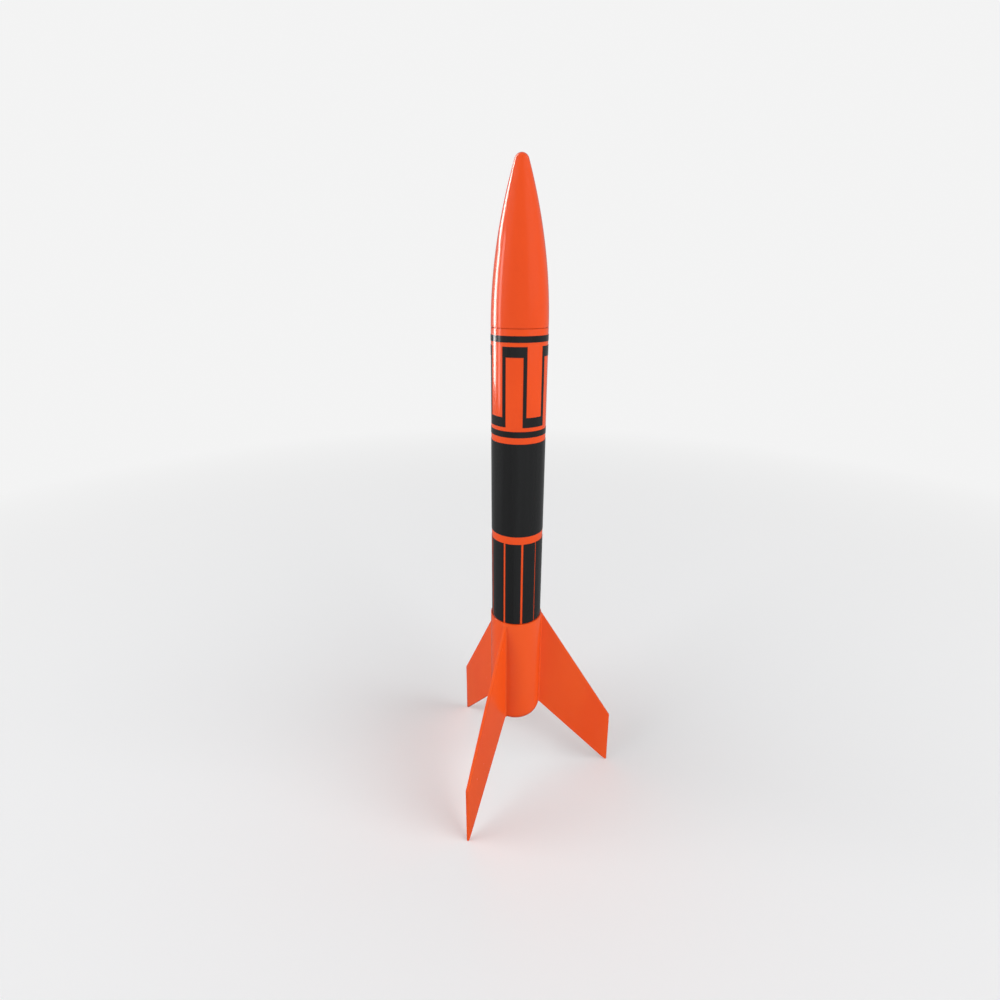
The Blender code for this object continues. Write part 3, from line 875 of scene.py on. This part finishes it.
def make_hook(steel):
    """A bent steel strip: prong, long arm, tab behind the engine and a finger lip."""
    arm_r = MOUNT_R + 2 * HOOK_HALF
    width = 3.0
    lip_width = 1.8
    corners = [
        (7.0, HOOK_PRONG_Z), (arm_r, HOOK_PRONG_Z), (arm_r, HOOK_TAB_Z),
        (7.4, HOOK_TAB_Z), (6.95, HOOK_BOTTOM + 0.1),
    ]
    path = rounded_path(corners, radius=0.9, steps=6)
    arm = max(i for i, p in enumerate(path) if p.y > (HOOK_PRONG_Z + HOOK_TAB_Z) / 2)
    top, bottom = path[arm:arm + 2]
    arm_steps = 30
    path[arm + 1:arm + 1] = [top.lerp(bottom, i / arm_steps) for i in range(1, arm_steps)]
    shape = bmesh.new()
    rings = []
    for i, point in enumerate(path):
        along = (path[min(i + 1, len(path) - 1)] - path[max(i - 1, 0)]).normalized()
        through = Vector((-along.y, along.x))
        half_width = (lip_width if i == len(path) - 1 else width) / 2
        ring = []
        for y, n in strip_section(half_width, HOOK_HALF, soft=0.14):
            place = point + through * n
            ring.append(shape.verts.new((place.x, y, place.y)))
        rings.append(ring)
    skin(shape, rings)
    turn_to(shape, LUG_AZIMUTH)
    hook = place_mesh("hook_strip", shape, [steel], sharp=50.0)
    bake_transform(hook)
    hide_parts("engine_hook")


# Engine

def make_engine(paper, clay, band):
    wall = 2.35
    casing = round_tube(
        "casing_tube", CASING_R - wall, CASING_R, CASING_BOTTOM, CASING_TOP, [paper],
        "motor_paper", soft=0.3,
    )
    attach(casing, "engine")
    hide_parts("motor_casing")
    stripe = round_tube(
        "casing_stripe", CASING_R + 0.01, CASING_R + 0.06, CASING_BOTTOM + 2.2, CASING_BOTTOM + 4.4,
        [band], "black_film", soft=0.02,
    )
    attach(stripe, "engine")
    low, high = span_z("nozzle")
    outside = size_of("nozzle").x / 2
    soft = 0.2
    throat_r = 1.7
    throat_z = low + 5.4
    flare = 2.8
    mouth_r = 3.3
    outline = arc(outside - soft, low + soft, soft, -90.0, 0.0, 3)
    outline += [(outside, high), (2.9, high), (throat_r, high - 1.5), (throat_r, throat_z)]
    outline += arc(throat_r + flare, throat_z, flare, 180.0, 205.0, 4)[1:]
    outline += [(mouth_r - 0.2, low + 0.3), (mouth_r, low)]
    nozzle = turned("nozzle_clay", outline, [clay], "clay", steps=96)
    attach(nozzle, "engine")
    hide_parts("nozzle")


# Recovery gear

def crumple(obj, amount_mm, scale_mm, seed):
    """Push each point in or out, from the rocket's axis, by smooth noise."""
    for vert in obj.data.vertices:
        place = (vert.co - AXIS) / MM
        push = noise.fractal(place / scale_mm + Vector((seed, 0.0, 0.0)), 0.8, 2.0, 4)
        radial = Vector((place.x, place.y, 0.0))
        if radial.length > 0.5:
            vert.co += radial.normalized() * (push - 0.25) * amount_mm * MM


def make_wadding(look):
    low, high = span_z("recovery_wadding")
    radius = size_of("recovery_wadding").x / 2 - 0.3
    soft = 3.0
    rows = 10
    straight = high - low - 2 * soft
    outline = [(0.0, low + 1.0)]
    outline += arc(radius - soft, low + soft, soft, -80.0, 0.0, 6)
    outline += [(radius, low + soft + straight * i / rows) for i in range(1, rows)]
    outline += arc(radius - soft, high - soft, soft, 0.0, 80.0, 6)
    outline += [(radius * 0.5, high - 0.8), (0.0, high - 2.0)]
    wad = turned("wadding_sheets", outline, [look], "tissue", steps=96)
    crumple(wad, amount_mm=1.6, scale_mm=4.0, seed=3.0)
    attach(wad, "airframe")
    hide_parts("recovery_wadding")


KNOT_Z = EYELET_Z - 2.9
CORD_R = 1.0
CORD_TRACK = 10.6
CORD_INNER_TRACK = 8.7
MOUNT_AZIMUTH = 250.0
RISER_AZIMUTH = 30.0


def cord_corner(azimuth, z, way):
    """A quarter turn of the cord, from upright to level at z; way is the side that it turns to."""
    bend = 5.5
    points = []
    for i in range(5):
        angle = math.pi / 8 * i
        along = math.degrees(bend * (1.0 - math.cos(angle)) / CORD_TRACK)
        points.append(around(CORD_TRACK, azimuth + way * along, z + bend * (1.0 - math.sin(angle))))
    return points


def cord_route():
    """The elastic cord from its paper anchor, down, round in a coil, and up to its knot."""
    clear = CORD_R + 0.3
    low = COIL_BOTTOM + clear
    high = COIL_TOP - clear
    anchor_z = 196.6
    route = [
        around(CORD_TRACK - 0.2, MOUNT_AZIMUTH, anchor_z),
        around(CORD_TRACK, MOUNT_AZIMUTH, 188.0),
        around(CORD_TRACK, MOUNT_AZIMUTH, 176.0),
    ]
    route += cord_corner(MOUNT_AZIMUTH, high, 1.0)
    corner_span = 42.0
    coil_turns = 7
    per_turn = 14
    start = MOUNT_AZIMUTH + corner_span
    end = RISER_AZIMUTH - corner_span + 360.0 * coil_turns
    count = round((end - start) / 360.0 * per_turn)
    for i in range(count + 1):
        share = i / count
        if share < 0.5:
            outer = max(0.0, 1.0 - share * 12.0)
        else:
            outer = min(1.0, (share - 0.5) * 10.0)
        radius = CORD_INNER_TRACK + (CORD_TRACK - CORD_INNER_TRACK) * outer
        height = low + (high - low) * abs(1.0 - 2.0 * share)
        route.append(around(radius, start + (end - start) * share, height))
    route += cord_corner(RISER_AZIMUTH, high, -1.0)[::-1]
    route += [
        around(CORD_TRACK, RISER_AZIMUTH, 174.0),
        around(CORD_TRACK, RISER_AZIMUTH, 182.0),
        around(CORD_TRACK, RISER_AZIMUTH, 196.0),
        around(CORD_TRACK - 0.2, RISER_AZIMUTH, 212.0),
        around(8.2, RISER_AZIMUTH, KNOT_Z - 5.2),
        around(4.8, RISER_AZIMUTH, KNOT_Z - 1.4),
        around(1.0, RISER_AZIMUTH, KNOT_Z + 0.4),
    ]
    return smooth_route(route, spacing=2.2)


def make_shock_cord(look):
    route = cord_route()
    cord = tube_along("elastic_cord", route, CORD_R, look, sides=12)
    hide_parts("shock_cord_coil", "shock_cord_tail", "shock_cord_riser")
    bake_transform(cord)


def make_tether_knot(look):
    """The cord's loop through the eyelet, and the knot under it that the lines are tied into."""
    loop_r = 0.85
    knot_r = 0.8
    pieces = 24
    route = []
    for i in range(pieces + 1):
        point = around(EYELET_BAR_R + loop_r, 360.0 / pieces * i, 0.0).zxy
        route.append(point + Vector((0.0, 0.0, EYELET_Z + EYELET_BAR_R)))
    loop = tube_along("tether_loop", route, loop_r, look, sides=12)
    size = 0.62
    pieces = 96
    route = []
    for i in range(pieces + 1):
        turn = math.tau * i / pieces
        route.append(Vector((
            size * (math.sin(turn) + 2.0 * math.sin(2.0 * turn)),
            size * (math.cos(turn) - 2.0 * math.cos(2.0 * turn)),
            KNOT_Z - 1.7 * size * math.sin(3.0 * turn),
        )))
    knot = tube_along("tether_knot", route, knot_r, look, sides=12)
    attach(loop, "nose")
    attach(knot, "nose")


def canopy_radius(azimuth, z, share):
    """Where the film of the rolled canopy lies: share is 0 at its core and 1 outside."""
    core_r = 1.1
    outer_r = CANOPY_R - 0.6
    tied = 4.0
    height = (z - CANOPY_BOTTOM) / (CANOPY_TOP - CANOPY_BOTTOM)
    waist = 0.97 if WRAP_BOTTOM - tied <= z <= WRAP_TOP + tied else 1.0
    rim = min(1.0, 0.62 + 2.6 * min(height, 1.0 - height))
    angle = math.radians(azimuth)
    place = Vector((math.cos(angle), math.sin(angle), z / 14.0))
    folds = noise.fractal(place * 1.6, 0.9, 2.0, 3) * 0.1
    pleats = 0.035 * math.sin(7.0 * angle + z / 9.0)
    spread = 1.0 + (folds + pleats) * min(1.0, 4.0 * min(height, 1.0 - height) + 0.25)
    return (core_r + (outer_r - core_r) * share) * waist * rim * spread


def make_canopy(orange_film, white_film):
    """A long sheet of film rolled up; its wrinkles go through all its layers together."""
    turns = 47
    per_turn = 30
    count = turns * per_turn
    rows = 18
    square_mm = 17.0
    hem = 0.6
    middle_row = rows // 2
    shape = bmesh.new()
    columns = []
    run = [0.0]
    for i in range(count + 1):
        share = i / count
        azimuth = 360.0 * i / per_turn
        column = []
        for j in range(rows + 1):
            z = CANOPY_BOTTOM + hem + (CANOPY_TOP - CANOPY_BOTTOM - 2 * hem) * j / rows
            edge = 0.5 * math.sin(i * 0.37) * (abs(2.0 * j / rows - 1.0) ** 8)
            column.append(shape.verts.new(around(canopy_radius(azimuth, z, share), azimuth, z - edge)))
        if columns:
            run.append(run[-1] + (column[middle_row].co - columns[-1][middle_row].co).length)
        columns.append(column)
    for i, (first, second) in enumerate(zip(columns, columns[1:])):
        for j in range(rows):
            face = shape.faces.new((first[j], second[j], second[j + 1], first[j + 1]))
            along = int(run[i] // square_mm)
            up = int((j + 0.5) / rows * (CANOPY_TOP - CANOPY_BOTTOM) // square_mm)
            face.material_index = (along + up) % 2
    canopy = place_mesh("canopy_roll", shape, [orange_film, white_film], sharp=80.0)
    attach(canopy, "parachute")
    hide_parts("parachute_canopy")


def line_route(number, lines):
    """One shroud line: wound round the canopy's waist, then up over its top into the knot."""
    turns = 5
    per_turn = 24
    count = turns * per_turn
    inset = 1.0
    first = 360.0 / lines * number + 40.0
    track = CANOPY_R + 0.62
    route = []
    for i in range(count + 1):
        turn = first + 360.0 * i / per_turn
        climb = (WRAP_TOP - WRAP_BOTTOM - 2 * inset) * i / count
        route.append(around(track, turn, WRAP_BOTTOM + inset + climb))
    gathered = 210.0 + (number - (lines - 1) / 2) * 16.0
    fan = 0.12 * (number % 3)
    over_top = around(CANOPY_R * 0.5, first + 6.0, CANOPY_TOP + 0.9)
    under_knot = around(1.2 + fan, gathered, KNOT_Z - 1.2)
    halfway = over_top.lerp(under_knot, 0.5) - Vector((0.0, 0.0, 0.4))
    route += [
        around(track, first + 5.0, WRAP_TOP + 3.0),
        around(track - 0.2, first + 8.0, CANOPY_TOP - 7.0),
        around(CANOPY_R * 0.86, first + 10.0, CANOPY_TOP - 0.6),
        over_top,
        halfway,
        under_knot,
        around(0.7 + fan, gathered, KNOT_Z + 0.8),
    ]
    return smooth_route(route, spacing=1.6)


def make_shroud_lines(look):
    lines = 6
    line_r = 0.25
    for number in range(lines):
        route = line_route(number, lines)
        line = tube_along(f"shroud_line_{number + 1}", route, line_r, look, sides=6)
        if number == 0:
            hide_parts("shroud_line_wrap", "shroud_line_bundle")
        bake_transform(line)


# Finishes of the CAD nodes that stay as they are

def finish_nodes(finishes):
    for node, look in finishes.items():
        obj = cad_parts[node]
        obj.data.materials.clear()
        obj.data.materials.append(look)


# Floor, backdrop and light

def turned_sheet(name, profile, look):
    """An open sheet turned round the world's Z from (radius, z) points in metres."""
    shape = bmesh.new()
    verts = [shape.verts.new((r, 0.0, z)) for r, z in profile]
    edges = [shape.edges.new(pair) for pair in zip(verts, verts[1:])]
    spin_round(shape, verts + edges, 96)
    bmesh.ops.remove_doubles(shape, verts=shape.verts, dist=1e-5)
    mesh = bpy.data.meshes.new(name)
    shape.to_mesh(mesh)
    shape.free()
    mesh.shade_smooth()
    mesh.materials.append(look)
    sheet = bpy.data.objects.new(name, mesh)
    sheet.visible_glossy = False
    bpy.context.scene.collection.objects.link(sheet)
    return sheet


def make_stage():
    """A pale round floor, and a backdrop that sweeps up from it and closes overhead. Away from the
    rocket both only glow, so that the lights leave no edges on them. The rocket doesn't
    reflect them."""
    base = (0.8, 0.8, 0.805)
    look = Look("studio_stage", base, 0.9, Specular_IOR_Level=0.0, Emission_Color=(1.0, 1.0, 1.0, 1.0))
    distance = look.radius()
    look.colour(look.mix(look.ramp(distance, 0.1, 0.8), base, (0.0, 0.0, 0.0)))
    glow = look.ramp(distance, 0.05, 0.85, 0.1, 0.9)
    look.tree.links.new(glow, look.shader.inputs["Emission Strength"])
    look.bump(look.noise(900.0, 3.0), 0.03, 0.05)
    floor_r = 1.9
    curve = 0.9
    wall_top = 2.2
    turned_sheet("studio_floor", [(0.0, 0.0), (0.6, 0.0), (floor_r, 0.0)], look.material)
    sweep = arc(floor_r, curve, curve, -90.0, 0.0, 16)
    roof = arc(floor_r, wall_top, curve, 0.0, 90.0, 16) + [(0.0, wall_top + curve)]
    wall = turned_sheet("studio_wall", sweep + roof, look.material)
    wall.visible_diffuse = False
    wall.visible_shadow = False


def area_light(name, place, size, radiance, aim):
    """A rectangular light of size (across, upright) at place, facing aim, unseen by the camera."""
    data = bpy.data.lights.new(name, "AREA")
    data.shape = "RECTANGLE"
    data.size, data.size_y = size
    data.energy = radiance * math.pi * size[0] * size[1]
    light = bpy.data.objects.new(name, data)
    light.location = AXIS + Vector(place)
    towards = Vector(aim) - Vector(place)
    light.rotation_euler = towards.to_track_quat("-Z", "Y").to_euler()
    light.visible_camera = False
    bpy.context.scene.collection.objects.link(light)
    return light


def make_world():
    """Dim and even light from all round, fading out below the horizon."""
    world = bpy.data.worlds.new("studio")
    world.use_nodes = True
    tree = world.node_tree
    sky = tree.nodes["Background"]
    sky.inputs["Color"].default_value = (0.98, 0.99, 1.0, 1.0)
    place = tree.nodes.new("ShaderNodeTexCoord")
    split = tree.nodes.new("ShaderNodeSeparateXYZ")
    fade = tree.nodes.new("ShaderNodeMapRange")
    fade.interpolation_type = "SMOOTHSTEP"
    for name, number in (("From Min", -1.1), ("From Max", -0.1), ("To Min", 0.03), ("To Max", 0.33)):
        fade.inputs[name].default_value = number
    tree.links.new(place.outputs["Generated"], split.inputs[0])
    tree.links.new(split.outputs["Z"], fade.inputs["Value"])
    tree.links.new(fade.outputs["Result"], sky.inputs["Strength"])
    bpy.context.scene.world = world


def make_lights():
    middle = (0.0, 0.0, 0.2)
    for name, place, radiance in (
        ("left_soft", (-1.96, -0.53, 1.25), 2.6),
        ("right_soft", (1.75, -1.02, 1.25), 2.8),
    ):
        light = area_light(name, place, (2.1, 2.1), radiance, middle)
        light.visible_glossy = False
    for name, place, size, radiance in (
        ("left_streak_high", (-0.252, 0.163, 0.55), (0.09, 0.42), 10.0),
        ("left_streak_low", (-0.274, 0.122, 0.275), (0.08, 0.14), 11.0),
        ("left_streak_faint", (-0.319, -0.024, 0.29), (0.06, 0.2), 3.5),
        ("right_glint", (0.5, 0.0, 0.78), (0.07, 0.16), 4.0),
    ):
        light = area_light(name, place, size, radiance, (0.0, 0.0, place[2]))
        light.visible_diffuse = False


def build():
    place_camera()
    plastic = orange_plastic()
    fins = painted_light_fin_plastic()
    kraft = wound_paper("kraft_paper", (0.42, 0.27, 0.15), (0.28, 0.17, 0.085), 24.0, 0.8, AXIS)
    lug_axis = AXIS + around(LUG_OUT, LUG_AZIMUTH, 0.0) * MM
    white_paper = wound_paper("white_paper", (0.8, 0.79, 0.74), (0.62, 0.6, 0.54), 9.0, 0.65, lug_axis)
    card = smooth_paper("fibre_card", (0.38, 0.3, 0.19), (0.27, 0.2, 0.12))
    film = black_film()
    clay = pressed_powder("clay", (0.5, 0.44, 0.35), (0.38, 0.33, 0.26), 1300.0)
    powder = pressed_powder("black_powder", (0.03, 0.03, 0.03), (0.012, 0.012, 0.013), 2200.0)
    elastic = braid("elastic_cord", (0.82, 0.8, 0.74), (0.55, 0.52, 0.46), 0.7)
    thread = braid("white_thread", (0.88, 0.88, 0.86), (0.62, 0.62, 0.6), 0.35)
    make_nose(plastic)
    make_nose_base(plastic)
    make_body_tube(orange_coat(), kraft)
    make_films(film)
    make_fin_can(fins)
    make_lug(white_paper, dried_glue())
    make_mount_tube(kraft)
    make_hook(spring_steel())
    make_engine(rolled_paper(), clay, film)
    make_wadding(tissue())
    make_shock_cord(elastic)
    make_tether_knot(elastic)
    make_canopy(
        canopy_film("canopy_orange", (0.88, 0.13, 0.02), (0.75, 0.08, 0.012)),
        canopy_film("canopy_white", (0.85, 0.85, 0.84), (0.72, 0.72, 0.72)),
    )
    make_shroud_lines(thread)
    finish_nodes({
        "engine_block": kraft,
        "front_centering_ring": card,
        "rear_centering_ring": card,
        "hook_retainer_ring": card,
        "shock_cord_mount": smooth_paper("mount_paper", (0.8, 0.79, 0.75), (0.66, 0.64, 0.6)),
        "propellant_grain": powder,
        "delay_train": powder,
        "ejection_charge": powder,
        "clay_cap": clay,
    })
    make_stage()
    make_world()
    make_lights()
    bpy.context.scene.view_settings.view_transform = "Standard"


build()
